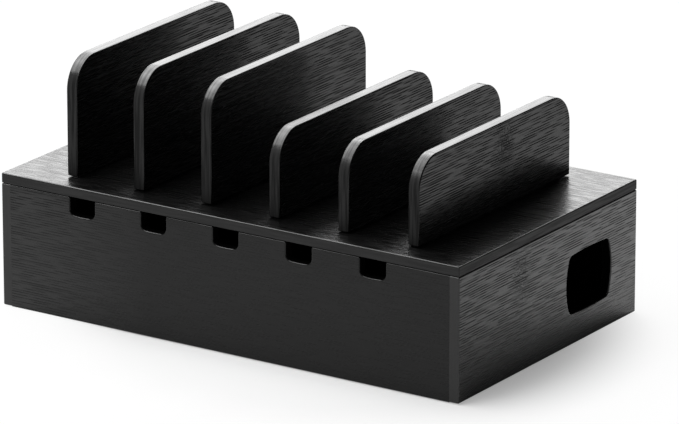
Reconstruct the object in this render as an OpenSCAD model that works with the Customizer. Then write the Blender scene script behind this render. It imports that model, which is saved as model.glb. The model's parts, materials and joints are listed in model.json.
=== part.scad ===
// Desktop charging station organizer. A shallow bamboo case hides a charger with
// several ports, and its lift-off lid carries six upright dividers for the devices.
// Millimetres. +Z is up and +X is to the right, seen from the front. The origin is
// on the table, under the middle of the case.

/* [Case] */
// Width of the case, left to right
case_w = 300; // [280:1:340]
// Depth of the case, front to back
case_d = 183; // [175:1:230]
// Height of the four walls, without the lid
wall_h = 71; // [64:1:90]
// Thickness of the wall boards
wall_t = 6; // [5:0.5:8]
// Width of the eased edges of the boards
ease = 0.8; // [0.4:0.1:1.2]

/* [Bottom panel and feet] */
// Thickness of the bottom panel
bottom_t = 4; // [3:0.5:6]
// Height of the bottom panel above the lower edge of the walls
bottom_lift = 3; // [2:0.5:6]
// Depth of the groove in the walls that holds the bottom panel
bottom_groove = 2.5; // [1.5:0.5:3.5]
// Gap on each side of the bottom panel in its groove
bottom_slack = 0.15; // [0.1:0.05:0.4]
// Diameter of a foot
foot_d = 13; // [8:1:20]
// How far the feet stand below the walls
foot_proud = 0.6; // [0.4:0.1:2]
// Width of the bevel round the lower rim of a foot
foot_rim = 0.5; // [0.2:0.1:1]
// From the inner faces of the walls to the middle of a foot
foot_inset = 20; // [12:1:40]

/* [Corner dowels] */
// Diameter of a dowel
dowel_d = 3; // [2:0.5:4]
// How far a dowel goes into the side panel
dowel_in_side = 4; // [2:0.5:4.5]
// How far a dowel goes into the end of the front or back panel
dowel_in_end = 12; // [8:1:20]
// Height of the lower dowel above the lower edge of the walls
dowel_low = 16; // [12:1:22]
// Height of the upper dowel above the lower edge of the walls
dowel_high = 52; // [44:1:54]
// Glue gap all round a dowel
dowel_slack = 0.05; // [0.02:0.01:0.1]

/* [Cable notches in the front panel] */
// Number of notches
notch_count = 5; // [3:1:5]
// Width of a notch
notch_w = 16.6; // [12:0.2:24]
// Depth of a notch below the lid
notch_depth = 10.6; // [8:0.2:14]
// From the middle of one notch to the middle of the next
notch_pitch = 47.6; // [36:0.2:54]
// Radius of the two lower corners of a notch
notch_r = 3.6; // [2:0.2:5]
// How far the lower edge of a notch bows down
notch_bow = 0.6; // [0.2:0.1:1.2]

/* [Cord opening in the right side panel] */
// Width of the opening, front to back
cord_w = 46.8; // [34:0.2:60]
// Height of the opening
cord_h = 34.5; // [24:0.5:40]
// From the back of the case to the middle of the opening
cord_from_back = 50; // [42:1:70]
// Height of the middle of the opening above the lower edge of the walls
cord_z = 34.5; // [32:0.5:38]
// How far the upright sides of the opening bow outwards
cord_side_bow = 3.4; // [0.5:0.1:5]
// How far the long sides of the opening bow outwards
cord_long_bow = 0.8; // [0.2:0.1:2]
// Radius of the corners of the opening
cord_r = 3.4; // [2:0.2:6]

/* [Lid] */
// Thickness of the lid
lid_t = 6; // [5:0.5:9]
// Width of a cleat under the lid
cleat_w = 10; // [8:1:16]
// Height of a cleat
cleat_h = 10; // [8:1:12]
// Gap between a cleat and the walls
cleat_slack = 0.5; // [0.3:0.1:1]
// Diameter of a cleat screw
screw_d = 3; // [2.5:0.5:3.5]
// Diameter of the head of a cleat screw
screw_head_d = 5.8; // [5:0.2:7]
// How far a screw goes into the lid
screw_bite = 3.4; // [2:0.2:3.6]
// From the end of a cleat to the nearer screw
screw_inset = 24; // [16:1:40]
// Gap all round a screw in its hole
screw_slack = 0.1; // [0.05:0.05:0.3]
// Length of the pointed tip of a screw
tip_len = 1.5; // [1:0.1:2]
// Diameter at the very end of the tip
tip_d = 0.6; // [0.4:0.1:1]
// Length of each arm-to-arm slot of the cross recess in a screw head
recess_len = 3.2; // [2.6:0.1:3.6]
// Width of those slots
recess_w = 0.8; // [0.6:0.1:1]
// Depth of those slots
recess_depth = 1.1; // [0.6:0.1:1.2]

/* [Dividers] */
// Thickness of a divider
divider_t = 7; // [5:0.5:9]
// Length of a divider, front to back
divider_d = 154; // [120:1:160]
// Height of a tall divider above the lid
tall_h = 68; // [50:1:90]
// Height of a short divider above the lid
short_h = 49; // [36:1:60]
// Radius of the two upper corners of a divider
divider_r = 18.5; // [8:0.5:24]
// From the middle of one divider to the middle of the next
divider_pitch = 44.7; // [36:0.1:48]
// Thickness of the tongue under a divider
tongue_t = 5; // [3:0.5:5]
// From the end of a divider to the end of its tongue
tongue_inset = 10; // [8:1:20]
// Depth of the blind groove in the lid that holds the tongue
slot_depth = 3.2; // [2:0.2:3.4]
// Gap between the tongue and each side of its groove
slot_slack = 0.15; // [0.1:0.05:0.4]
// Gap between the shoulders of a divider and the lid
shoulder_gap = 0.6; // [0.3:0.1:1.2]

/* [Hidden] */

// Colours
stained_bamboo = [0.17, 0.165, 0.16];
foot_rubber = [0.09, 0.09, 0.09];
plain_wood = [0.76, 0.62, 0.42];
screw_steel = [0.62, 0.6, 0.55];

// Facets of round stretches, and of the long shallow arcs of the openings
round_fn = 96;
arc_fn = 240;
// How far a cut runs past the face it leaves
past = 1;

// Places worked out from the sizes above
inner_w = case_w - 2 * wall_t;
inner_d = case_d - 2 * wall_t;
lid_z = foot_proud + wall_h;
lid_top = lid_z + lid_t;
bottom_z = foot_proud + bottom_lift;
cleat_len = inner_d - 2 * cleat_slack;
cleat_x = inner_w / 2 - cleat_slack - cleat_w / 2;
divider_count = 6;
tall_count = 3;
tongue_len = divider_d - 2 * tongue_inset;
dowel_len = dowel_in_side + dowel_in_end;
screw_head_h = (screw_head_d - screw_d) / 2;
screw_len = cleat_h + screw_bite;
left = -1;
right = 1;
front = -1;
back = 1;

// Radius of an arc that bows out by bow over a chord
function bow_radius(chord, bow) = (chord * chord / 4 + bow * bow) / (2 * bow);
function divider_x(i) = (i - (divider_count - 1) / 2) * divider_pitch;
function divider_h(i) = i < tall_count ? tall_h : short_h;
function notch_x(i) = (i - (notch_count - 1) / 2) * notch_pitch;

// A rectangle from the origin with its four corners cut off by e
module eased_rect(w, h, e) {
    polygon([[e, 0], [w - e, 0], [w, e], [w, h - e], [w - e, h], [e, h], [0, h - e], [0, e]]);
}

// Turns an outline drawn in Y and Z into a board that runs len along +X
module along_x(len) {
    rotate([90, 0, 90]) linear_extrude(len) children();
}

// A board from the origin with its edges eased. Where it has to meet another board without
// a groove, square_left keeps the two upright edges on its left square.
module eased_board(size, e, square_left = false) {
    run_out = square_left ? e : 0;
    intersection() {
        linear_extrude(size.z) translate([-run_out, 0]) eased_rect(size.x + run_out, size.y, e);
        translate([0, size.y, 0]) rotate([90, 0, 0]) linear_extrude(size.y) eased_rect(size.x, size.z, e);
        along_x(size.x) eased_rect(size.y, size.z, e);
    }
}

// Outline of a cable notch, with its origin at the middle of the upper edge of the wall
module notch_outline() {
    r_low = bow_radius(notch_w, notch_bow);
    offset(r = notch_r, $fn = round_fn / 2) intersection() {
        square([notch_w - 2 * notch_r, 2 * (notch_depth - notch_r)], center = true);
        translate([0, r_low - notch_depth]) circle(r = r_low - notch_r, $fn = arc_fn);
    }
}

// Outline of the cord opening about its own middle
module cord_outline() {
    r_side = bow_radius(cord_h, cord_side_bow);
    r_long = bow_radius(cord_w, cord_long_bow);
    offset(r = cord_r, $fn = round_fn / 2) intersection_for(s = [left, right]) {
        intersection() {
            translate([s * (cord_w / 2 - r_side), 0]) circle(r = r_side - cord_r, $fn = arc_fn);
            translate([0, s * (cord_h / 2 - r_long)]) circle(r = r_long - cord_r, $fn = arc_fn);
        }
    }
}

// The groove for the bottom panel, cut into a wall whose inner face lies at y = 0
module bottom_groove_cut(len) {
    translate([-len / 2, -past, bottom_lift - bottom_slack])
        cube([len, bottom_groove + past, bottom_t + 2 * bottom_slack]);
}

// Dowels of one wall end, or their holes, with the joint face at x = 0 and the side panel on +X
module dowel_pair(d, slack) {
    for (z = [dowel_low, dowel_high])
        translate([-dowel_in_end - slack, 0, z]) rotate([0, 90, 0])
            cylinder(d = d, h = dowel_len + 2 * slack, $fn = round_fn);
}

// Puts its children at one of the four corner joints, with +X towards the outside
module at_corner(side_x, side_y) {
    translate([side_x * inner_w / 2, side_y * (case_d - wall_t) / 2, foot_proud])
        mirror([side_x < 0 ? 1 : 0, 0, 0]) children();
}

// The front or back wall without its notches, which stands between the side panels
module cross_wall(side_y) {
    difference() {
        translate([-inner_w / 2, side_y * (case_d - wall_t) / 2 - wall_t / 2, foot_proud])
            along_x(inner_w) eased_rect(wall_t, wall_h, ease);
        translate([0, side_y * inner_d / 2, foot_proud])
            mirror([0, side_y < 0 ? 1 : 0, 0]) bottom_groove_cut(inner_w + 2 * past);
        for (side_x = [left, right])
            at_corner(side_x, side_y) dowel_pair(dowel_d + 2 * dowel_slack, dowel_slack);
    }
}

module front_panel() {
    color(stained_bamboo) difference() {
        cross_wall(front);
        for (i = [0 : notch_count - 1])
            translate([notch_x(i), -inner_d / 2 + past, foot_proud + wall_h])
                rotate([90, 0, 0]) linear_extrude(wall_t + 2 * past) notch_outline();
    }
}

module back_panel() {
    color(stained_bamboo) cross_wall(back);
}

// A side wall over the whole depth, with its stopped groove. The right one has the cord opening.
module side_panel(side_x) {
    groove_len = inner_d + 2 * bottom_groove;
    color(stained_bamboo) mirror([side_x < 0 ? 1 : 0, 0, 0]) difference() {
        translate([inner_w / 2, -case_d / 2, foot_proud])
            eased_board([wall_t, case_d, wall_h], ease, square_left = true);
        translate([inner_w / 2, 0, foot_proud]) rotate([0, 0, -90]) bottom_groove_cut(groove_len);
        if (side_x == right)
            translate([inner_w / 2 - past, case_d / 2 - cord_from_back, foot_proud + cord_z])
                along_x(wall_t + 2 * past) cord_outline();
        for (side_y = [front, back])
            at_corner(right, side_y) dowel_pair(dowel_d + 2 * dowel_slack, dowel_slack);
    }
}

module bottom_panel() {
    w = inner_w + 2 * (bottom_groove - bottom_slack);
    d = inner_d + 2 * (bottom_groove - bottom_slack);
    color(stained_bamboo) translate([-w / 2, -d / 2, bottom_z]) cube([w, d, bottom_t]);
}

module corner_dowels() {
    color(plain_wood)
        for (side_x = [left, right], side_y = [front, back])
            at_corner(side_x, side_y) dowel_pair(dowel_d, 0);
}

// A stick-on pad that reaches from the table to the bottom panel
module foot(side_x, side_y) {
    color(foot_rubber)
        translate([side_x * (inner_w / 2 - foot_inset), side_y * (inner_d / 2 - foot_inset), 0]) {
            cylinder(d1 = foot_d - 2 * foot_rim, d2 = foot_d, h = foot_rim, $fn = round_fn);
            translate([0, 0, foot_rim]) cylinder(d = foot_d, h = bottom_z - foot_rim, $fn = round_fn);
        }
}

// The blind groove for one tongue, with the round ends that a router leaves
module divider_slot(i) {
    w = tongue_t + 2 * slot_slack;
    translate([divider_x(i), 0, lid_top - slot_depth]) linear_extrude(slot_depth + past) {
        square([w, tongue_len], center = true);
        for (s = [front, back]) translate([0, s * tongue_len / 2]) circle(d = w, $fn = round_fn);
    }
}

// Puts its children at the four cleat screws, with the head down on the cleat
module at_screws(sides = [left, right]) {
    for (side_x = sides, side_y = [front, back])
        translate([side_x * cleat_x, side_y * (cleat_len / 2 - screw_inset), lid_z - cleat_h])
            children();
}

module lid() {
    color(stained_bamboo) difference() {
        translate([-case_w / 2, -case_d / 2, lid_z]) eased_board([case_w, case_d, lid_t], ease);
        for (i = [0 : divider_count - 1]) divider_slot(i);
        at_screws() cylinder(d = screw_d + 2 * screw_slack, h = screw_len + screw_slack, $fn = round_fn);
    }
}

module lid_cleat(side_x) {
    hole_d = screw_d + 2 * screw_slack;
    sink_d = screw_head_d + 2 * screw_slack;
    color(stained_bamboo) difference() {
        translate([side_x * cleat_x - cleat_w / 2, -cleat_len / 2, lid_z - cleat_h])
            eased_board([cleat_w, cleat_len, cleat_h], ease);
        at_screws([side_x]) {
            translate([0, 0, -past]) cylinder(d = hole_d, h = cleat_h + 2 * past, $fn = round_fn);
            translate([0, 0, -past]) cylinder(d = sink_d, h = past, $fn = round_fn);
            cylinder(d1 = sink_d, d2 = hole_d, h = screw_head_h, $fn = round_fn);
        }
    }
}

// A countersunk wood screw that points up, with a cross recess in its head
module cleat_screw() {
    difference() {
        union() {
            cylinder(d1 = screw_head_d, d2 = screw_d, h = screw_head_h, $fn = round_fn);
            translate([0, 0, screw_head_h])
                cylinder(d = screw_d, h = screw_len - screw_head_h - tip_len, $fn = round_fn);
            translate([0, 0, screw_len - tip_len])
                cylinder(d1 = screw_d, d2 = tip_d, h = tip_len, $fn = round_fn);
        }
        for (a = [0, 90]) rotate([0, 0, a])
            translate([-recess_len / 2, -recess_w / 2, -past])
                cube([recess_len, recess_w, past + recess_depth]);
    }
}

module cleat_screws() {
    color(screw_steel) at_screws() cleat_screw();
}

// One rounded upper corner of a divider with its rims eased. Its middle is the origin and
// it fills the quarter towards +Y and +Z.
module divider_corner(t) {
    rotate([0, 90, 0]) rotate([0, 0, 90]) rotate_extrude(angle = 90, $fn = round_fn)
        polygon([
            [0, -t / 2], [divider_r - ease, -t / 2], [divider_r, ease - t / 2],
            [divider_r, t / 2 - ease], [divider_r - ease, t / 2], [0, t / 2]
        ]);
}

// The slat above its shoulders: an eased lower board, an upper bar and two rounded corners.
// The lower board's upper rims end inside the other two.
module divider_slat(h) {
    t = divider_t;
    body_h = h - shoulder_gap;
    y_mid = divider_d / 2 - divider_r;
    translate([-t / 2, -divider_d / 2, 0])
        eased_board([t, divider_d, body_h - divider_r + ease], ease);
    translate([0, y_mid, body_h - divider_r]) rotate([90, 0, 0]) linear_extrude(2 * y_mid)
        polygon([
            [-t / 2, 0], [t / 2, 0], [t / 2, divider_r - ease],
            [t / 2 - ease, divider_r], [ease - t / 2, divider_r], [-t / 2, divider_r - ease]
        ]);
    for (s = [front, back])
        mirror([0, s < 0 ? 1 : 0, 0]) translate([0, y_mid, body_h - divider_r]) divider_corner(t);
}

// Divider i, counted from the left, standing on its tongue in the lid
module divider(i) {
    color(stained_bamboo) translate([divider_x(i), 0, lid_top]) {
        translate([0, 0, shoulder_gap]) divider_slat(divider_h(i));
        translate([-tongue_t / 2, -tongue_len / 2, -slot_depth])
            cube([tongue_t, tongue_len, slot_depth + shoulder_gap]);
    }
}

front_panel();
back_panel();
side_panel(left);  // left_side_panel
side_panel(right);  // right_side_panel
bottom_panel();
corner_dowels();
foot(left, front);  // front_left_foot
foot(right, front);  // front_right_foot
foot(left, back);  // back_left_foot
foot(right, back);  // back_right_foot
lid();
lid_cleat(left);  // left_lid_cleat
lid_cleat(right);  // right_lid_cleat
cleat_screws();
divider(0);  // tall_divider_1
divider(1);  // tall_divider_2
divider(2);  // tall_divider_3
divider(3);  // short_divider_1
divider(4);  // short_divider_2
divider(5);  // short_divider_3
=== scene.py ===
"""Looks of a desktop charging station organizer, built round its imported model.

A shallow case of black-stained bamboo hides a charger. Its lift-off lid carries six upright
dividers. Every board that shows is rebuilt here with rounded rims and a wood finish; the
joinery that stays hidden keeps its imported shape. Sizes are metres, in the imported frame:
+X to the right, +Y to the back and +Z up, seen from the side with the cable notches.
"""

import json
import logging
import math
from dataclasses import dataclass, replace
from enum import Enum
from typing import Callable, Sequence

import bmesh
import bpy
from mathutils import Matrix, Vector

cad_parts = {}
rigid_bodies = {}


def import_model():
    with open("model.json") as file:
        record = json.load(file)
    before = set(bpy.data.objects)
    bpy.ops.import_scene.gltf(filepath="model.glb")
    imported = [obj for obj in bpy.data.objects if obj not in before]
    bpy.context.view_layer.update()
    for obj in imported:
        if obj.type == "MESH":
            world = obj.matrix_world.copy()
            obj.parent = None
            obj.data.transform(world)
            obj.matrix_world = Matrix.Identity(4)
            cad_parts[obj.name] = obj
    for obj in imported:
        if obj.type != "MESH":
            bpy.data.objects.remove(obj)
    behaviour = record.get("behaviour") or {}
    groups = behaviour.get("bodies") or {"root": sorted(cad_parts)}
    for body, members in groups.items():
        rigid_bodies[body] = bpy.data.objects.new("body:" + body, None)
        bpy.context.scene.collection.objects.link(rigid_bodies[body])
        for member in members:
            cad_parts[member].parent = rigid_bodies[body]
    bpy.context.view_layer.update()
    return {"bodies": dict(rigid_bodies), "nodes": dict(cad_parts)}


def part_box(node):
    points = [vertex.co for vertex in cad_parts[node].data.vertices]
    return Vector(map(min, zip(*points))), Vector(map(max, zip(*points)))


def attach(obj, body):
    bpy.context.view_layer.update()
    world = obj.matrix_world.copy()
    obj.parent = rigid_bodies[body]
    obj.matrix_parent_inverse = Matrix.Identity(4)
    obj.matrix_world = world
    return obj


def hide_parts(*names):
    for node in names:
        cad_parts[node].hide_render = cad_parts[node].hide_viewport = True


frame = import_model()

log = logging.getLogger("organizer")
WHITE = (1.0, 1.0, 1.0, 1.0)
MM = 0.001

# Points nearer than this are one point.
WELD = 0.001 * MM
# Faces that turn less than this lie in one plane.
FLAT_TURN = math.radians(0.5)
# Faces that turn more than this meet in a sharp edge.
SHARP_TURN = math.radians(40)
# A face whose normal has less than this along Z looks straight down.
DOWNWARDS = -0.99
# How far a cutter reaches past its board, and a tongue into it.
REACH_PAST = 1 * MM
# The flat sides of a round rod and the steps of a rounded rim.
ROD_SIDES = 32
RIM_STEPS = 4
# The material slots of a board: its finish, and the sawn edge of its openings, painted near-black as the
# shade inside them.
BOARD_SLOT = 0
CUT_SLOT = 1

Socket = bpy.types.NodeSocket
# The mesh of a piece under work.
Solid = bmesh.types.BMesh
Edge = bmesh.types.BMEdge
Pair = tuple[float, float]
Place = tuple[float, float, float]


class Axis(Enum):
    """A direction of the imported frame."""

    X = 0
    Y = 1
    Z = 2

    def third(self, other: "Axis") -> "Axis":
        """Returns the axis that is neither this one nor the other."""
        return Axis(3 - self.value - other.value)


class Cut(Enum):
    """What one solid does to another."""

    AWAY = "DIFFERENCE"
    JOIN = "UNION"


class Side(Enum):
    """The left or the right half of the organizer."""

    LEFT = -1
    RIGHT = 1


def linear(code: str) -> tuple[float, float, float, float]:
    """Turns an sRGB hex colour into linear light.

    Args:
        code: The colour as "#rrggbb".

    Returns:
        Linear red, green, blue and an alpha of 1.
    """
    parts = [int(code[i : i + 2], 16) / 255 for i in (1, 3, 5)]
    red, green, blue = [c / 12.92 if c <= 0.04045 else ((c + 0.055) / 1.055) ** 2.4 for c in parts]
    return red, green, blue, 1.0


class NodeTree:
    """The shader nodes of a material or the world, added one by one.

    The inputs of a Mix node are numbered: 0 is the share, 2 and 3 are the two numbers that it
    mixes, 6 and 7 the two colours, and a mixed colour is output 2. The inputs of a Map Range node
    are the value, the range that it comes from and the range that it goes to.
    """

    def __init__(self, owner: bpy.types.ID) -> None:
        """Empties the owner's node tree.

        Args:
            owner: The material or world whose nodes are made.
        """
        owner.use_nodes = True
        self.tree = owner.node_tree
        self.tree.nodes.clear()

    def add(self, kind: str, inputs: dict[int | str, object] | Sequence[object] = (),
            **settings: object) -> bpy.types.Node:
        """Adds a node with its settings and links.

        Args:
            kind: The node's type without its "ShaderNode" prefix.
            inputs: The socket that each input is linked from, or its value, in the order of the
                inputs or under their names or numbers.
            **settings: The node's own properties.

        Returns:
            The new node.
        """
        node = self.tree.nodes.new("ShaderNode" + kind)
        for name, value in settings.items():
            setattr(node, name, value)
        numbered = inputs if isinstance(inputs, dict) else dict(enumerate(inputs))
        for name, value in numbered.items():
            if isinstance(value, Socket):
                self.tree.links.new(value, node.inputs[name])
            else:
                node.inputs[name].default_value = value
        return node


@dataclass(frozen=True)
class Fibres:
    """One set of dark fibre lines: rows of long dashes that run with the grain."""

    spacing: float
    length: float
    width: float
    strength: float


@dataclass(frozen=True)
class StainedBamboo:
    """Laminated bamboo board, planed and sanded along the grain, stained black and sealed with
    one thin satin lacquer. The eye gets a near-black ground whose shine is broken by fine dark
    fibre lines along the grain, stronger on some strips than on others, and the speckled joint of
    the cane here and there. Sawn ends drink the lacquer, so they stay dark grey from every side.
    The fibres are drawn about three times as coarse as real ones, or they would not show.
    """

    grain: Axis
    through: Axis
    stain: str = "#020202"
    worn_stain: str = "#030303"
    end_stain: str = "#090909"
    end_vessel: str = "#040404"
    ior: float = 1.4

    # How strong the fibre lines are at the two rims across the grain, and where these rims are.
    figure: Pair = (1.0, 1.0)
    rims: Pair = (0.0, 1.0)
    # Between these two places along the grain, the lines fade from full strength to this share,
    # and the lacquer's shine goes from its first to its second value.
    run: Pair = (1.0, 2.0)
    faded: float = 1.0
    face_gloss: Pair = (0.5, 0.5)
    fibre_gloss: float = 0.0
    edge_gloss: float = 0.5
    vessel_gloss: float = 0.3

    roughness: float = 0.22
    fibre_roughness: float = 0.8
    end_roughness: float = 0.62
    # How much the haze changes the roughness of the faces, and the vessels that of the ends.
    haze_roughness: float = 0.05
    vessel_roughness: float = 0.2

    fibre_sets: tuple[Fibres, ...] = (
        Fibres(spacing=1.4 * MM, length=18 * MM, width=0.72 * MM, strength=1.0),
        Fibres(spacing=3.1 * MM, length=60 * MM, width=0.8 * MM, strength=0.35),
    )
    # The share of a line's width that is fully dark, and of a row's where its line may run.
    line_core: float = 0.8
    row_wander: Pair = (0.37, 0.63)
    # How far the dashes of two rows may be shifted, in dashes, the range of the noise over which
    # a dash comes and goes, and what is left of the line between two dashes.
    row_shift: float = 100.0
    dash_band: Pair = (0.36, 0.56)
    faint_dash: float = 0.1
    fibre_depth: float = 0.02 * MM
    # The width of a strip of cane, and the least share of its lines that it shows.
    strip_width: float = 20 * MM
    plain_strip: float = 0.75

    haze_length: float = 30 * MM
    haze_width: float = 2.4 * MM
    # How far the lines sway across the grain, and over which length.
    sway: float = 0.9 * MM
    sway_length: float = 130 * MM
    ply_spacing: float = 1.0 * MM
    ply_depth: float = 0.004 * MM
    # The range of the noise over which the vessels open, and how strongly they show.
    vessel_band: Pair = (0.42, 0.58)
    end_figure: float = 1.0

    # The middle of the cane's joint, along and across the grain. This default is off the board.
    cane_joint: Pair = (1.0, 1.0)
    cane_joint_size: Pair = (26 * MM, 42 * MM)
    cane_joint_fade: Pair = (0.15, 0.5)
    cane_joint_strength: float = 0.5
    speck_size: Pair = (1.5 * MM, 0.8 * MM)
    speck_band: Pair = (0.44, 0.56)

    # The part of the normal along an axis at which a surface begins to face along it and fully does.
    facing_band: Pair = (0.85, 0.97)
    # Moves every pattern, so that no two boards look alike.
    shift: float = 0.0

    def material(self, board: str) -> bpy.types.Material:
        """Makes the finish of one board.

        Args:
            board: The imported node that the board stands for.

        Returns:
            The material.
        """
        made = bpy.data.materials.new(f"stained_bamboo_{board}")
        BambooNodes(made, self).finish()
        return made


class BambooNodes(NodeTree):
    """The nodes of one board's stained bamboo. Its marks go from 0 to 1 over the surface: the
    faces, the sawn ends, the haze of the stain, the broken fibres and the open vessels. From
    these it works out the colour, the shine and the relief.
    """

    def __init__(self, owner: bpy.types.ID, wood: StainedBamboo) -> None:
        """Makes the marks.

        Args:
            owner: The material whose nodes are made.
            wood: The finish.
        """
        super().__init__(owner)
        self.wood = wood
        source = self.add("TexCoord").outputs
        place = self.add("SeparateXYZ", [source["Object"]]).outputs
        normal = self.add("SeparateXYZ", [source["Normal"]]).outputs
        across = wood.grain.third(wood.through)
        self.along, straight, depth = [place[axis.value] for axis in (wood.grain, across, wood.through)]
        bend = self._streaks((self.along, wood.sway_length), (straight, wood.sway_length))
        self.side = self.add("Math", (bend, wood.sway, straight), operation="MULTIPLY_ADD").outputs[0]
        self.flat = self._facing(normal[wood.through.value])
        self.end = self._facing(normal[wood.grain.value])
        self.haze = self._streaks((self.along, wood.haze_length), (self.side, wood.haze_width))
        self.broken = self.add("Math", (self._cane_joint(), self._lines()), operation="MAXIMUM").outputs[0]
        plies = self._streaks(
            (depth, wood.ply_spacing), (self.along, wood.haze_length), (straight, wood.haze_length))
        self.vessels = self.add("MapRange", (plies, *wood.vessel_band, 0.0, wood.end_figure)).outputs[0]

    def finish(self) -> None:
        """Ties the colour, the shine and the relief to the material's surface."""
        shader = self.add("BsdfPrincipled", {
            "Base Color": self._colour(), "Roughness": self._roughness(), "IOR": self.wood.ior,
            "Specular IOR Level": self._gloss(), "Normal": self._relief()})
        self.add("OutputMaterial", [shader.outputs[0]])

    def _colour(self) -> Socket:
        """Mixes the stain of the faces with that of the sawn ends.

        Returns:
            The colour.
        """
        wood = self.wood
        ground = self.add("Mix", {0: self.haze, 6: linear(wood.worn_stain), 7: linear(wood.stain)},
                          data_type="RGBA").outputs[2]
        sawn = self.add("Mix", {0: self.vessels, 6: linear(wood.end_stain), 7: linear(wood.end_vessel)},
                        data_type="RGBA").outputs[2]
        return self.add("Mix", {0: self.end, 6: ground, 7: sawn}, data_type="RGBA").outputs[2]

    def _roughness(self) -> Socket:
        """Roughens the satin lacquer along the broken fibres and on the sawn ends.

        Returns:
            The roughness.
        """
        wood = self.wood
        satin, sawn = [
            self.add("Math", (mark, change, middle - change / 2), operation="MULTIPLY_ADD").outputs[0]
            for mark, change, middle in ((self.haze, wood.haze_roughness, wood.roughness),
                                         (self.vessels, wood.vessel_roughness, wood.end_roughness))
        ]
        worn = self.add("Math", (self.broken, self.flat), operation="MULTIPLY").outputs[0]
        face = self.add("Mix", {0: worn, 2: satin, 3: wood.fibre_roughness}).outputs[0]
        return self.add("Mix", {0: self.end, 2: face, 3: sawn}).outputs[0]

    def _gloss(self) -> Socket:
        """Sets how strongly the lacquer shines on the faces, the broken fibres and the edges.

        Returns:
            The specular level, where 0.5 is that of a plain surface.
        """
        wood = self.wood
        edge = self.add("Mix", {0: self.vessels, 2: wood.edge_gloss, 3: wood.vessel_gloss}).outputs[0]
        lacquer = self.add("MapRange", (self.along, *wood.run, *wood.face_gloss)).outputs[0]
        face = self.add("Mix", {0: self.broken, 2: lacquer, 3: wood.fibre_gloss}).outputs[0]
        return self.add("Mix", {0: self.flat, 2: edge, 3: face}).outputs[0]

    def _relief(self) -> Socket:
        """Sinks the broken fibres into the faces and raises the plies on the edges.

        Returns:
            The bumped normal.
        """
        face, edge = [
            self.add("Math", (mark, height), operation="MULTIPLY").outputs[0]
            for mark, height in ((self.broken, -self.wood.fibre_depth), (self.vessels, self.wood.ply_depth))
        ]
        height = self.add("Mix", {0: self.flat, 2: edge, 3: face}).outputs[0]
        return self.add("Bump", {"Strength": 1.0, "Distance": 1.0, "Height": height}).outputs[0]

    def _lines(self) -> Socket:
        """Draws every set of fibre lines, weaker where the board is plain.

        Returns:
            Up to 1 on a fibre line and 0 between them.
        """
        wood = self.wood
        found, *others = [self._rows(fibres) for fibres in wood.fibre_sets]
        for other in others:
            found = self.add("Math", (found, other), operation="MAXIMUM").outputs[0]
        strip = self.add("Math", (self.side, 1 / wood.strip_width, wood.shift), operation="MULTIPLY_ADD")
        number = self.add("Math", [strip.outputs[0]], operation="FLOOR").outputs[0]
        chance = self.add("TexWhiteNoise", {"W": number}, noise_dimensions="1D").outputs[0]
        for ranges in ((self.side, *wood.rims, *wood.figure), (chance, 0.0, 1.0, wood.plain_strip, 1.0),
                       (self.along, *wood.run, 1.0, wood.faded)):
            share = self.add("MapRange", ranges).outputs[0]
            found = self.add("Math", (found, share), operation="MULTIPLY").outputs[0]
        return found

    def _rows(self, fibres: Fibres) -> Socket:
        """Draws one set of fibre lines, one row beside the other.

        Args:
            fibres: The set.

        Returns:
            The set's strength on a line and 0 between the lines.
        """
        wood = self.wood
        place = self.add("Math", (self.side, 1 / fibres.spacing, wood.shift),
                         operation="MULTIPLY_ADD").outputs[0]
        row = self.add("Math", [place], operation="FLOOR").outputs[0]
        part = self.add("Math", [place], operation="FRACT").outputs[0]
        chance = self.add("TexWhiteNoise", {"W": row}, noise_dimensions="1D").outputs[0]
        middle = self.add("MapRange", (chance, 0.0, 1.0, *wood.row_wander)).outputs[0]
        offset = self.add("Math", (part, middle), operation="SUBTRACT").outputs[0]
        away = self.add("Math", [offset], operation="ABSOLUTE").outputs[0]
        half = fibres.width / fibres.spacing / 2
        line = self.add("MapRange", (away, wood.line_core * half, half, fibres.strength, 0.0)).outputs[0]
        start = self.add("Math", (chance, wood.row_shift), operation="MULTIPLY").outputs[0]
        travel = self.add("Math", (self.along, 1 / fibres.length, start), operation="MULTIPLY_ADD")
        wave = self.add("TexNoise", {"W": travel.outputs[0], "Scale": 1.0, "Detail": 1.0},
                        noise_dimensions="1D").outputs[0]
        dash = self.add("MapRange", (wave, *wood.dash_band, wood.faint_dash, 1.0)).outputs[0]
        return self.add("Math", (line, dash), operation="MULTIPLY").outputs[0]

    def _cane_joint(self) -> Socket:
        """Marks the speckled joint of the cane that crosses one strip.

        Returns:
            The joint's strength on its specks and 0 away from it.
        """
        wood = self.wood
        specks = self._streaks(*zip((self.along, self.side), wood.speck_size))
        found = self.add("MapRange", (specks, *wood.speck_band, 0.0, wood.cane_joint_strength)).outputs[0]
        for value, middle, size in zip((self.along, self.side), wood.cane_joint, wood.cane_joint_size):
            offset = self.add("Math", (value, middle), operation="SUBTRACT").outputs[0]
            away = self.add("Math", [offset], operation="ABSOLUTE").outputs[0]
            fade = [share * size for share in wood.cane_joint_fade]
            near = self.add("MapRange", (away, *fade, 1.0, 0.0)).outputs[0]
            found = self.add("Math", (found, near), operation="MULTIPLY").outputs[0]
        return found

    def _facing(self, part: Socket) -> Socket:
        """Returns 1 where the surface faces along the axis of this part of the normal, else 0."""
        size = self.add("Math", [part], operation="ABSOLUTE").outputs[0]
        return self.add("MapRange", (size, *self.wood.facing_band)).outputs[0]

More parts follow.
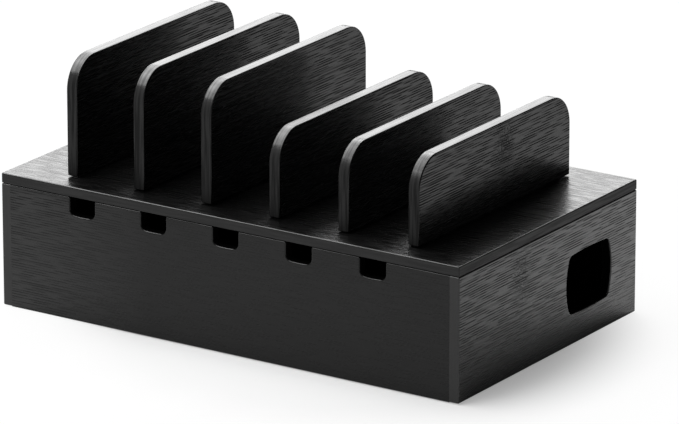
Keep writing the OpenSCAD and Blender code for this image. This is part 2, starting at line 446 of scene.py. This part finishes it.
    def _streaks(self, *spans: tuple[Socket, float]) -> Socket:
        """Draws a soft noise that is stretched to real sizes.

        Args:
            *spans: Two or three coordinates in metres, each with the pattern's size along it.

        Returns:
            The noise, around 0.5.
        """
        scaled = [
            self.add("Math", (value, 1 / size, self.wood.shift), operation="MULTIPLY_ADD").outputs[0]
            for value, size in spans
        ]
        vector = self.add("CombineXYZ", scaled).outputs[0]
        return self.add("TexNoise", {"Vector": vector, "Scale": 1.0, "Detail": 2.0}).outputs[0]


@dataclass(frozen=True)
class MatteSkin:
    """A finish of one colour, whose surface is broken by a fine grain."""

    name: str
    colour: str
    roughness: float
    ior: float
    grain_size: float
    relief: float

    def material(self) -> bpy.types.Material:
        """Makes the finish.

        Returns:
            The material.
        """
        made = bpy.data.materials.new(self.name)
        nodes = NodeTree(made)
        place = nodes.add("TexCoord").outputs["Object"]
        noise = nodes.add("TexNoise", {"Vector": place, "Scale": 1 / self.grain_size, "Detail": 2.0})
        skin = noise.outputs[0]
        bump = nodes.add("Bump", {"Strength": 1.0, "Distance": self.relief, "Height": skin}).outputs[0]
        shader = nodes.add("BsdfPrincipled", {
            "Base Color": linear(self.colour), "Roughness": self.roughness, "IOR": self.ior, "Normal": bump})
        nodes.add("OutputMaterial", [shader.outputs[0]])
        return made


@dataclass(frozen=True)
class PaintedShadeCut(MatteSkin):
    """Sawn edge of an opening, painted near-black, dull and barely shiny: painted shade that makes the
    inside of the cable notches and of the cord opening look dead black.
    """

    name: str = "saw_cut_painted_shade"
    colour: str = "#010101"
    roughness: float = 0.9
    ior: float = 1.1
    grain_size: float = 0.6 * MM
    relief: float = 0.03 * MM


@dataclass(frozen=True)
class FootRubber(MatteSkin):
    """Moulded silicone pad with an even matte skin that scatters light softly."""

    name: str = "moulded_foot_rubber"
    colour: str = "#1b1b1c"
    roughness: float = 0.7
    ior: float = 1.43
    grain_size: float = 0.5 * MM
    relief: float = 0.02 * MM


@dataclass(frozen=True)
class DowelBeech:
    """Bare turned beech with short darker flecks along the dowel."""

    light: str = "#c49a67"
    dark: str = "#a87c4c"
    roughness: float = 0.65
    fleck_length: float = 2.5 * MM
    fleck_width: float = 0.3 * MM
    relief: float = 0.03 * MM

    def material(self) -> bpy.types.Material:
        """Makes the finish.

        Returns:
            The material.
        """
        made = bpy.data.materials.new("bare_beech")
        nodes = NodeTree(made)
        place = nodes.add("TexCoord").outputs["Object"]
        scale = (1 / self.fleck_length, 1 / self.fleck_width, 1 / self.fleck_width)
        stretched = nodes.add("Mapping", {"Vector": place, "Scale": scale}).outputs[0]
        flecks = nodes.add("TexNoise", {"Vector": stretched, "Scale": 1.0, "Detail": 2.0}).outputs[0]
        colour = nodes.add("Mix", {0: flecks, 6: linear(self.dark), 7: linear(self.light)},
                           data_type="RGBA").outputs[2]
        bump = nodes.add("Bump", {"Strength": 1.0, "Distance": self.relief, "Height": flecks}).outputs[0]
        shader = nodes.add("BsdfPrincipled", {
            "Base Color": colour, "Roughness": self.roughness, "Normal": bump})
        nodes.add("OutputMaterial", [shader.outputs[0]])
        return made


@dataclass(frozen=True)
class ZincScrew:
    """Cold-headed steel under yellow zinc plating, which gives a soft uneven shine."""

    dull: str = "#9c9270"
    bright: str = "#cfc39a"
    # Of the dull patches and of the bright ones.
    roughness: Pair = (0.45, 0.3)
    patch_size: float = 1.5 * MM

    def material(self) -> bpy.types.Material:
        """Makes the finish.

        Returns:
            The material.
        """
        made = bpy.data.materials.new("yellow_zinc_plated_steel")
        nodes = NodeTree(made)
        place = nodes.add("TexCoord").outputs["Object"]
        noise = nodes.add("TexNoise", {"Vector": place, "Scale": 1 / self.patch_size, "Detail": 3.0})
        patches = noise.outputs[0]
        colour = nodes.add("Mix", {0: patches, 6: linear(self.dull), 7: linear(self.bright)},
                           data_type="RGBA").outputs[2]
        rough = nodes.add("MapRange", (patches, 0.0, 1.0, *self.roughness)).outputs[0]
        shader = nodes.add("BsdfPrincipled", {"Base Color": colour, "Metallic": 1.0, "Roughness": rough})
        nodes.add("OutputMaterial", [shader.outputs[0]])
        return made


def block(low: Vector, high: Vector) -> Solid:
    """Makes a box.

    Args:
        low: Its lowest corner.
        high: Its highest corner.

    Returns:
        The box.
    """
    made = bmesh.new()
    place = Matrix.Translation((low + high) / 2) @ Matrix.Diagonal((*(high - low), 1.0))
    bmesh.ops.create_cube(made, size=1.0, matrix=place)
    return made


def rod(middle: Vector, along: Axis, radius: float, length: float, end_radius: float | None = None) -> Solid:
    """Makes a cylinder or a cone.

    Args:
        middle: The middle of its axis.
        along: The direction of its axis, X or Z.
        radius: Its radius, at the low end of the axis for a cone.
        length: Its length.
        end_radius: The radius at the high end, if it differs.

    Returns:
        The solid.
    """
    turn = Matrix.Rotation(math.pi / 2, 4, "Y") if along is Axis.X else Matrix.Identity(4)
    made = bmesh.new()
    bmesh.ops.create_cone(
        made, cap_ends=True, segments=ROD_SIDES, radius1=radius,
        radius2=radius if end_radius is None else end_radius, depth=length,
        matrix=Matrix.Translation(middle) @ turn)
    return made


def show(shape: Solid, name: str) -> bpy.types.Object:
    """Turns a solid into an object in the scene.

    Args:
        shape: The finished solid, which is freed.
        name: The object's name.

    Returns:
        The object, at the origin.
    """
    mesh = bpy.data.meshes.new(name)
    shape.to_mesh(mesh)
    shape.free()
    made = bpy.data.objects.new(name, mesh)
    bpy.context.scene.collection.objects.link(made)
    return made


def combine(board: Solid, cut: Cut, *others: Solid) -> Solid:
    """Cuts solids away from a board, or joins them to it.

    Args:
        board: The board, which is freed.
        cut: Whether the others are cut away or joined.
        *others: The other solids, which are freed.

    Returns:
        The new board.
    """
    target = show(board, "board_under_work")
    helpers = [show(other, "cutter") for other in others]
    for piece in [target, *helpers]:
        for _ in (BOARD_SLOT, CUT_SLOT):
            piece.data.materials.append(None)
    for helper in helpers:
        step = target.modifiers.new("cut", "BOOLEAN")
        step.operation = cut.value
        step.solver = "EXACT"
        step.object = helper
    done = target.evaluated_get(bpy.context.evaluated_depsgraph_get()).to_mesh()
    result = bmesh.new()
    result.from_mesh(done)
    for used in [target, *helpers]:
        mesh = used.data
        bpy.data.objects.remove(used)
        bpy.data.meshes.remove(mesh)
    bmesh.ops.remove_doubles(result, verts=result.verts, dist=WELD)
    bmesh.ops.dissolve_limit(result, angle_limit=FLAT_TURN, verts=result.verts, edges=result.edges)
    return result


def round_rims(board: Solid, width: float, chosen: Callable[[Edge], bool] = lambda edge: True) -> None:
    """Rounds the sharp rims of a board, also of its openings, and leaves them to be lacquered.

    Args:
        board: The board under work.
        width: How far the rounding reaches from each rim.
        chosen: Says whether a sharp rim is rounded.
    """
    rims = [e for e in board.edges if e.is_manifold and e.calc_face_angle() > SHARP_TURN and chosen(e)]
    rounded = bmesh.ops.bevel(
        board, geom=rims, offset=width, offset_type="OFFSET", segments=RIM_STEPS, profile=0.5,
        affect="EDGES", material=-1, clamp_overlap=True)
    for face in rounded["faces"]:
        face.material_index = BOARD_SLOT


@dataclass(frozen=True)
class BowedOpening:
    """An opening whose four sides bow outwards and whose corners are round."""

    width: float
    height: float
    side_bow: float
    long_bow: float
    radius: float
    steps: int
    corner_steps: int = 8

    def plug(self, middle: Vector, width_axis: Axis, through: Axis, length: float) -> Solid:
        """Makes the solid that the opening takes out of a board.

        Args:
            middle: The middle of the solid.
            width_axis: The direction of the opening's width. Its height runs along Z.
            through: The direction of the hole.
            length: How long the solid is.

        Returns:
            The solid.
        """
        made = bmesh.new()
        bmesh.ops.create_grid(made, x_segments=self.steps, y_segments=self.steps, size=1.0)
        bmesh.ops.dissolve_faces(made, faces=made.faces, use_verts=False)
        corners = [v for v in made.verts if abs(v.co.x * v.co.y) > 1 - WELD]
        for vert in made.verts:
            across, up = vert.co.x, vert.co.y
            offset = Vector()
            offset[width_axis.value] = across * (self.width / 2 - self.side_bow * up * up)
            offset[through.value] = -length / 2
            offset.z = up * (self.height / 2 - self.long_bow * across * across)
            vert.co = middle + offset
        bmesh.ops.bevel(
            made, geom=corners, offset=self._tangent(), offset_type="OFFSET",
            segments=self.corner_steps, profile=0.5, affect="VERTICES", material=-1, clamp_overlap=True)
        grown = bmesh.ops.extrude_face_region(made, geom=made.faces[:])
        push = Vector()
        push[through.value] = length
        far_end = [part for part in grown["geom"] if isinstance(part, bmesh.types.BMVert)]
        bmesh.ops.translate(made, verts=far_end, vec=push)
        bmesh.ops.recalc_face_normals(made, faces=made.faces)
        # The cut faces take the slot of the near-black finish that paints the shade inside the opening.
        for face in made.faces:
            face.material_index = CUT_SLOT
        return made

    def _tangent(self) -> float:
        """Returns how far a round corner reaches along the sides that it joins."""
        lean = math.atan(4 * self.side_bow / self.height) + math.atan(4 * self.long_bow / self.width)
        return self.radius * math.tan((math.pi / 2 - lean) / 2)


@dataclass
class Board:
    """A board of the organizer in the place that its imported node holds."""

    node: str
    body: str
    wood: StainedBamboo

    def blank(self) -> Solid:
        """Returns the square-edged blank that the board is cut from."""
        return block(*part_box(self.node))

    def finish(self, shape: Solid) -> None:
        """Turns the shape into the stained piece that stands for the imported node.

        Args:
            shape: The board's final shape, which is freed.
        """
        bmesh.ops.recalc_face_normals(shape, faces=shape.faces)
        for face in shape.faces:
            face.smooth = True
        for edge in shape.edges:
            edge.smooth = not edge.is_manifold or edge.calc_face_angle() < SHARP_TURN
        made = show(shape, self.node + "_board")
        even = made.modifiers.new("even_faces", "WEIGHTED_NORMAL")
        even.keep_sharp = True
        made.data.materials.append(self._own_wood().material(self.node))
        if any(face.material_index == CUT_SLOT for face in made.data.polygons):
            # The cut faces of an opening get the near-black finish that paints the shade inside it.
            cut = PaintedShadeCut()
            made.data.materials.append(bpy.data.materials.get(cut.name) or cut.material())
        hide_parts(self.node)
        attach(made, self.body)
        log.info("%s: %d faces", made.name, len(made.data.polygons))

    def _own_wood(self) -> StainedBamboo:
        """Fits the wood to this board.

        Returns:
            The wood with this board's rims and with a pattern that no other board shows.
        """
        low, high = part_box(self.node)
        across = self.wood.grain.third(self.wood.through).value
        return replace(self.wood, rims=(low[across], high[across]), shift=sum(low) / MM)


def paint_node(name: str, material: bpy.types.Material) -> None:
    """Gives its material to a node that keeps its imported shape.

    Args:
        name: The node's name.
        material: The finish.
    """
    node = frame["nodes"][name]
    for slot in node.material_slots:
        slot.material = material
    log.info("%s: keeps its packed shape", name)


@dataclass
class Case:
    """The open box: four walls, the bottom panel in its groove, dowels and feet."""

    body: str = "case"
    ease: float = 0.8 * MM
    notch_count: int = 5
    notch_pitch: float = 47.6 * MM
    # Its middle lies on the wall's upper edge, so a notch is its lower half.
    notch: BowedOpening = BowedOpening(
        width=16.6 * MM, height=21.2 * MM, side_bow=0.0, long_bow=0.6 * MM, radius=3.6 * MM, steps=4)
    cord: BowedOpening = BowedOpening(
        width=46.8 * MM, height=34.5 * MM, side_bow=3.4 * MM, long_bow=0.8 * MM, radius=3.4 * MM, steps=8)
    cord_from_back: float = 50 * MM
    cord_height: float = 34.5 * MM
    groove_slack: float = 0.15 * MM
    dowel_radius: float = 1.55 * MM
    dowel_in_end: float = 12.05 * MM
    dowel_in_side: float = 4.05 * MM
    dowel_heights: Pair = (16 * MM, 52 * MM)
    foot_round: float = 0.5 * MM
    front_wood: StainedBamboo = StainedBamboo(
        Axis.X, Axis.Y, figure=(0.4, 0.65), ior=1.35, run=(-130 * MM, -50 * MM), faded=0.27,
        face_gloss=(0.84, 0.515))
    back_wood: StainedBamboo = StainedBamboo(Axis.X, Axis.Y, figure=(0.6, 0.6))
    # The two side panels differ only in the stain of their sawn ends. The darker one on the left is painted
    # shade and the lighter one on the right is painted light, for the end strips at the front corners.
    left_wood: StainedBamboo = StainedBamboo(
        Axis.Y, Axis.X, figure=(0.35, 1.0), cane_joint=(-29 * MM, 56 * MM), end_stain="#060606",
        end_figure=0.1, ior=1.52, run=(-90 * MM, 90 * MM), face_gloss=(0.54, 1.0))
    right_wood: StainedBamboo = replace(left_wood, end_stain="#0a0a0a")
    bottom_wood: StainedBamboo = StainedBamboo(Axis.X, Axis.Z, end_stain="#0b0b0b")

    def build(self) -> None:
        """Builds and dresses every piece of the case."""
        self._front_panel()
        self._back_panel()
        for side, wood in ((Side.LEFT, self.left_wood), (Side.RIGHT, self.right_wood)):
            self._side_panel(side, wood)
        for corner in ("front_left", "front_right", "back_left", "back_right"):
            self._foot(corner + "_foot")
        paint_node("bottom_panel", self.bottom_wood.material("bottom_panel"))
        paint_node("corner_dowels", DowelBeech().material())

    def _groove(self) -> Solid:
        """Makes the space of the groove that runs round the inside of the walls.

        Returns:
            The solid to cut away.
        """
        low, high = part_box("bottom_panel")
        slack = Vector((self.groove_slack,) * 3)
        return block(low - slack, high + slack)

    def _dowel_holes(self, side: Side, y: float, joint_x: float, floor_z: float) -> list[Solid]:
        """Makes the spaces of the dowels of one corner.

        Args:
            side: Which side panel the corner has.
            y: The middle of the front or back panel's thickness.
            joint_x: Where the two boards meet.
            floor_z: The height of the walls' lower edge.

        Returns:
            One solid for each dowel.
        """
        inner = joint_x - side.value * self.dowel_in_end
        outer = joint_x + side.value * self.dowel_in_side
        length = self.dowel_in_end + self.dowel_in_side
        return [
            rod(Vector(((inner + outer) / 2, y, floor_z + height)), Axis.X, self.dowel_radius, length)
            for height in self.dowel_heights
        ]

    def _cross_wall(self, board: Board, shape: Solid) -> None:
        """Eases the long rims of the front or back panel and cuts its joinery.

        Args:
            board: The panel.
            shape: The panel's shape with its visible openings, which is freed.
        """
        low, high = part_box(board.node)
        middle = (low + high) / 2
        end = high.x - WELD
        round_rims(shape, self.ease, lambda edge: not all(abs(v.co.x) > end for v in edge.verts))
        holes = [hole for side in Side
                 for hole in self._dowel_holes(side, middle.y, side.value * high.x, low.z)]
        board.finish(combine(shape, Cut.AWAY, self._groove(), *holes))

    def _front_panel(self) -> None:
        """Builds the panel with the cable notches under the lid."""
        board = Board("front_panel", self.body, self.front_wood)
        low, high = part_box(board.node)
        middle_y = (low.y + high.y) / 2
        depth = (high.y - low.y) + 2 * REACH_PAST
        places = [(i - (self.notch_count - 1) / 2) * self.notch_pitch for i in range(self.notch_count)]
        notches = [self.notch.plug(Vector((x, middle_y, high.z)), Axis.X, Axis.Y, depth) for x in places]
        self._cross_wall(board, combine(board.blank(), Cut.AWAY, *notches))

    def _back_panel(self) -> None:
        """Builds the plain back panel."""
        board = Board("back_panel", self.body, self.back_wood)
        self._cross_wall(board, board.blank())

    def _side_panel(self, side: Side, wood: StainedBamboo) -> None:
        """Builds a side panel over the whole depth. The right one has the cord opening.

        Args:
            side: Which side it stands on.
            wood: Its finish.
        """
        board = Board(f"{side.name.lower()}_side_panel", self.body, wood)
        low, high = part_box(board.node)
        inner_x = min(low.x, high.x, key=abs)
        shape = board.blank()
        if side is Side.RIGHT:
            middle = Vector(((low.x + high.x) / 2, high.y - self.cord_from_back, low.z + self.cord_height))
            opening = self.cord.plug(middle, Axis.Y, Axis.X, (high.x - low.x) + 2 * REACH_PAST)
            shape = combine(shape, Cut.AWAY, opening)

        def shows(edge: Edge) -> bool:
            """Returns whether a rim is none of the two that the front and back panel butt against."""
            return not all(abs(v.co.x - inner_x) < WELD and abs(v.co.y) > high.y - WELD for v in edge.verts)

        round_rims(shape, self.ease, shows)
        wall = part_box("back_panel")
        y = (wall[0].y + wall[1].y) / 2
        holes = [hole for end in (-y, y) for hole in self._dowel_holes(side, end, inner_x, low.z)]
        board.finish(combine(shape, Cut.AWAY, self._groove(), *holes))

    def _foot(self, node: str) -> None:
        """Builds one stick-on foot.

        Args:
            node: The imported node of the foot.
        """
        low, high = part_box(node)
        shape = rod((low + high) / 2, Axis.Z, (high.x - low.x) / 2, high.z - low.z)
        round_rims(shape, self.foot_round, lambda edge: all(v.co.z < low.z + WELD for v in edge.verts))
        # Only the two flat faces have more than four corners.
        for face in shape.faces:
            face.smooth = len(face.verts) == 4
        made = show(shape, node + "_pad")
        made.data.materials.append(FootRubber().material())
        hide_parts(node)
        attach(made, self.body)
        log.info("%s: %d faces", made.name, len(made.data.polygons))


@dataclass
class Lid:
    """The lift-off lid with a blind groove for each divider, its two cleats and their screws."""

    body: str = "lid"
    ease: float = 0.8 * MM
    lower_ease: float = 0.25 * MM
    # The rim of the underside is relieved this high and this far in, so that the seam shows dark.
    seam_gap: float = 0.35 * MM
    seam_depth: float = 2 * MM
    groove_depth: float = 3.2 * MM
    groove_slack: float = 0.15 * MM
    screw_slack: float = 0.1 * MM
    screw_head_height: float = 1.4 * MM
    screw_radius: float = 1.5 * MM
    screw_head_radius: float = 2.9 * MM
    screw_inset: float = 24 * MM
    wood: StainedBamboo = StainedBamboo(
        Axis.X, Axis.Z, end_figure=0.5, face_gloss=(0.53, 0.53), fibre_gloss=0.4, fibre_roughness=0.5,
        roughness=0.26)
    cleat_wood: StainedBamboo = StainedBamboo(Axis.Y, Axis.Z)

    def build(self, dividers: list["Divider"]) -> None:
        """Builds and dresses every piece of the lid.

        Args:
            dividers: The dividers whose tongues the lid holds.
        """
        self._board(dividers)
        for side in Side:
            self._cleat(side)
        paint_node("cleat_screws", ZincScrew().material())

    def _board(self, dividers: list["Divider"]) -> None:
        """Builds the lid itself.

        Args:
            dividers: The dividers whose tongues it holds.
        """
        board = Board("lid", self.body, self.wood)
        low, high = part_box(board.node)
        top = high.z
        below_ease = top - self.ease - WELD
        shape = block(low + Vector((0.0, 0.0, self.seam_gap)), high)
        round_rims(shape, self.ease, lambda edge: any(v.co.z > top - WELD for v in edge.verts))
        round_rims(shape, self.lower_ease, lambda edge: all(v.co.z < below_ease for v in edge.verts))
        under = [face for face in shape.faces if face.normal.z < DOWNWARDS]
        bmesh.ops.inset_individual(shape, faces=under, thickness=self.seam_depth, depth=self.seam_gap)
        grooves = [divider.groove(top, self.groove_depth, self.groove_slack) for divider in dividers]
        shafts = [shaft for side in Side for shaft in self._screw_holes(side, with_heads=False)]
        board.finish(combine(shape, Cut.AWAY, *grooves, *shafts))

    def _screw_holes(self, side: Side, with_heads: bool) -> list[Solid]:
        """Makes the spaces of the screws of one cleat.

        Args:
            side: Which cleat.
            with_heads: Whether the countersinks are added.

        Returns:
            The solids to cut away.
        """
        low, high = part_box(f"{side.name.lower()}_lid_cleat")
        start = low.z - REACH_PAST
        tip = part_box("cleat_screws")[1].z + self.screw_slack
        x = (low.x + high.x) / 2
        shaft_radius = self.screw_radius + self.screw_slack
        head_radius = self.screw_head_radius + self.screw_slack
        found = []
        for y in (low.y + self.screw_inset, high.y - self.screw_inset):
            found.append(rod(Vector((x, y, (start + tip) / 2)), Axis.Z, shaft_radius, tip - start))
            if with_heads:
                head = Vector((x, y, low.z + self.screw_head_height / 2))
                found.append(rod(head, Axis.Z, head_radius, self.screw_head_height, shaft_radius))
        return found

    def _cleat(self, side: Side) -> None:
        """Builds one cleat, which keeps the lid between the walls.

        Args:
            side: Which side it sits on.
        """
        board = Board(f"{side.name.lower()}_lid_cleat", self.body, self.cleat_wood)
        shape = board.blank()
        round_rims(shape, self.ease)
        board.finish(combine(shape, Cut.AWAY, *self._screw_holes(side, with_heads=True)))


@dataclass
class Divider:
    """An upright slat with two round upper corners, on a tongue that drops into the lid."""

    node: str
    wood: StainedBamboo
    ease: float = 0.8 * MM
    corner_radius: float = 18.5 * MM
    corner_steps: int = 14
    tongue_thickness: float = 5 * MM
    tongue_inset: float = 10 * MM
    groove_end_steps: int = 8
    shoulder_gap: float = 0.6 * MM

    def groove(self, lid_top: float, depth: float, slack: float) -> Solid:
        """Makes the space that the tongue needs in the lid.

        Args:
            lid_top: The height of the lid's upper face.
            depth: How deep the groove is.
            slack: The gap on each side of the tongue.

        Returns:
            The solid to cut away, with the round ends that a router leaves.
        """
        radius = self.tongue_thickness / 2 + slack
        made = self._bar(radius, self.tongue_inset - radius, lid_top - depth, lid_top + REACH_PAST)
        upright = [e for e in made.edges if abs(e.verts[0].co.z - e.verts[1].co.z) > WELD]
        bmesh.ops.bevel(
            made, geom=upright, offset=radius - WELD, offset_type="OFFSET", segments=self.groove_end_steps,
            profile=0.5, affect="EDGES", material=-1, clamp_overlap=True)
        return made

    def _bar(self, half: float, inset: float, bottom: float, top: float) -> Solid:
        """Makes an upright bar in the divider's middle plane.

        Args:
            half: Half its thickness.
            inset: How far it ends from the front and the back of the divider.
            bottom: Where it starts.
            top: Where it ends.

        Returns:
            The solid.
        """
        low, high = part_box(self.node)
        middle = (low.x + high.x) / 2
        return block(
            Vector((middle - half, low.y + inset, bottom)), Vector((middle + half, high.y - inset, top)))

    def build(self) -> None:
        """Builds and dresses the divider."""
        board = Board(self.node, self.node, self.wood)
        low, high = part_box(self.node)
        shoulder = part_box("lid")[1].z + self.shoulder_gap
        shape = block(Vector((low.x, low.y, shoulder)), high)
        upper = [e for e in shape.edges
                 if all(v.co.z > high.z - WELD for v in e.verts)
                 and abs(e.verts[0].co.x - e.verts[1].co.x) > WELD]
        bmesh.ops.bevel(
            shape, geom=upper, offset=self.corner_radius, offset_type="OFFSET", segments=self.corner_steps,
            profile=0.5, affect="EDGES", material=-1, clamp_overlap=True)
        round_rims(shape, self.ease)
        tongue = self._bar(self.tongue_thickness / 2, self.tongue_inset, low.z, shoulder + REACH_PAST)
        board.finish(combine(shape, Cut.JOIN, tongue))


@dataclass
class DividerRow:
    """The row of six dividers, of which the outer right one shows a joint of the cane."""

    wood: StainedBamboo = StainedBamboo(Axis.Y, Axis.X, ior=1.38, face_gloss=(0.55, 0.55))
    jointed_node: str = "short_divider_3"
    cane_joint: Pair = (9 * MM, 117 * MM)

    def pieces(self) -> list[Divider]:
        """Lists the dividers.

        Returns:
            The dividers in the order of their names.
        """
        jointed = replace(self.wood, cane_joint=self.cane_joint)
        names = [name for name in sorted(frame["bodies"]) if "divider" in name]
        return [Divider(name, jointed if name == self.jointed_node else self.wood) for name in names]


@dataclass
class Softbox:
    """A large studio lamp that faces one point. Its brightness is that of its face, where 1 is white."""

    name: str
    place: Place
    target: Place
    width: float
    height: float
    brightness: float

    def light(self) -> None:
        """Hangs the lamp in the scene, out of the camera's sight."""
        lamp = bpy.data.lights.new(self.name, "AREA")
        lamp.shape = "RECTANGLE"
        lamp.size, lamp.size_y = self.width, self.height
        lamp.energy = self.brightness * math.pi * self.width * self.height
        made = bpy.data.objects.new(self.name, lamp)
        bpy.context.scene.collection.objects.link(made)
        made.location = self.place
        towards = Vector(self.target) - Vector(self.place)
        made.rotation_euler = towards.to_track_quat("-Z", "Y").to_euler()
        made.visible_camera = False


@dataclass
class Studio:
    """The pale floor, the soft lamps, the surroundings and the camera."""

    # The lid mirrors the back lamp, and the strip draws the bright lines along the rims. No flat
    # face mirrors the other two, which light the floor.
    softboxes: tuple[Softbox, ...] = (
        Softbox("back_softbox", (-0.753, 1.446, 0.9), (0.0, 0.0, 0.08), 1.6, 1.1, 4.6),
        Softbox("strip_softbox", (-1.08, 0.13, 1.56), (0.0, 0.0, 0.05), 3.0, 0.5, 9.0),
        Softbox("overhead_softbox", (-0.6, -0.3, 2.1), (0.0, 0.0, 0.0), 1.6, 1.4, 4.6),
        Softbox("front_softbox", (-0.62, -1.43, 1.54), (0.0, 0.0, 0.0), 0.8, 1.0, 5.0),
    )

    floor_half: float = 30.0
    floor_colour: str = "#d0d0d0"
    # How much of the floor is lifted to white near the object and away from it, and between which
    # distances from the middle of its shadow: as the camera sees it, and as a mirror does.
    floor_glow: Pair = (0.3, 0.92)
    shadow_reach: Pair = (0.11, 0.18)
    mirrored_glow: Pair = (0.0, 0.6)
    mirrored_reach: Pair = (0.15, 0.22)
    shadow_middle: Place = (0.04, -0.03, 0.0)

    # The white backdrop ends at these heights above the horizon, as parts of the distance.
    backdrop_top: Pair = (0.04, 0.05)
    # The brightness of the walls above it, on the side turned away from pale_side and towards it.
    walls: Pair = (0.05, 0.35)
    wall_turn: Pair = (-0.3, 0.5)
    pale_side: Place = (-0.55, -0.83, 0.0)

    azimuth: float = 33.42
    elevation: float = 18.01
    roll: float = -0.03
    distance: float = 3.536
    middle_height: float = 38.84 * MM
    shift_right: float = 11.5 * MM
    shift_up: float = 16.9 * MM
    sensor: float = 36.0
    lens: float = 338.4
    clip: Pair = (0.1, 100.0)

    def build(self) -> None:
        """Makes the whole set."""
        self._floor()
        self._surroundings()
        for softbox in self.softboxes:
            softbox.light()
        self._camera()
        bpy.context.scene.view_settings.view_transform = "Standard"

    def _floor(self) -> None:
        """Lays the floor: pale, with the object's shadow, and lifted towards white away from it."""
        shape = bmesh.new()
        bmesh.ops.create_grid(shape, x_segments=1, y_segments=1, size=self.floor_half)
        made = show(shape, "studio_floor")
        material = bpy.data.materials.new("pale_studio_paper")
        nodes = NodeTree(material)
        paper = nodes.add("BsdfDiffuse", {"Color": linear(self.floor_colour)}).outputs[0]
        glow = nodes.add("Emission", {"Color": WHITE, "Strength": 1.0}).outputs[0]
        path = nodes.add("LightPath").outputs
        mirrored = nodes.add("Math", (path["Is Glossy Ray"], path["Is Transmission Ray"]),
                             operation="MAXIMUM").outputs[0]
        place = nodes.add("TexCoord").outputs["Object"]
        away = nodes.add("VectorMath", (place, self.shadow_middle), operation="DISTANCE").outputs["Value"]
        share = 0.0
        for seen, reach, lift in ((path["Is Camera Ray"], self.shadow_reach, self.floor_glow),
                                  (mirrored, self.mirrored_reach, self.mirrored_glow)):
            lifted = nodes.add("MapRange", (away, *reach, *lift), interpolation_type="SMOOTHSTEP").outputs[0]
            share = nodes.add("Math", (seen, lifted, share), operation="MULTIPLY_ADD").outputs[0]
        mixed = nodes.add("MixShader", (share, paper, glow)).outputs[0]
        nodes.add("OutputMaterial", [mixed])
        made.data.materials.append(material)

    def _surroundings(self) -> None:
        """Sets the world: a white backdrop up to a little above the horizon, and above it a pale
        wall in front on the left and a dark one behind on the right.
        """
        world = bpy.data.worlds.new("studio_surroundings")
        bpy.context.scene.world = world
        nodes = NodeTree(world)
        direction = nodes.add("TexCoord").outputs["Generated"]
        turned = nodes.add("VectorMath", (direction, self.pale_side), operation="DOT_PRODUCT").outputs
        wall = nodes.add("MapRange", (turned["Value"], *self.wall_turn, *self.walls),
                         interpolation_type="SMOOTHSTEP").outputs[0]
        height = nodes.add("SeparateXYZ", [direction]).outputs[2]
        above = nodes.add("MapRange", (height, *self.backdrop_top)).outputs[0]
        strength = nodes.add("Mix", {0: above, 2: 1.0, 3: wall}).outputs[0]
        light = nodes.add("Background", {"Color": WHITE, "Strength": strength}).outputs[0]
        nodes.add("OutputWorld", [light])

    def _camera(self) -> None:
        """Sets the camera at the photograph's angle and distance."""
        turn, tilt = math.radians(self.azimuth), math.radians(self.elevation)
        back = Vector((math.sin(turn) * math.cos(tilt), -math.cos(turn) * math.cos(tilt), math.sin(tilt)))
        right = (-back).cross(Vector((0.0, 0.0, 1.0))).normalized()
        up = right.cross(-back)
        lens = bpy.data.cameras.new("studio_camera")
        lens.sensor_width = self.sensor
        lens.lens = self.lens
        lens.clip_start, lens.clip_end = self.clip
        made = bpy.data.objects.new("studio_camera", lens)
        bpy.context.scene.collection.objects.link(made)
        made.location = (Vector((0.0, 0.0, self.middle_height)) + back * self.distance
                         + right * self.shift_right + up * self.shift_up)
        turned = Matrix((right, up, back)).transposed() @ Matrix.Rotation(math.radians(self.roll), 3, "Z")
        made.rotation_euler = turned.to_euler()
        bpy.context.scene.camera = made


def main() -> None:
    """Builds the set and the organizer."""
    Studio().build()
    Case().build()
    dividers = DividerRow().pieces()
    Lid().build(dividers)
    for divider in dividers:
        divider.build()


if __name__ == "__main__":
    logging.basicConfig(level=logging.INFO, format="%(name)s: %(message)s")
    main()
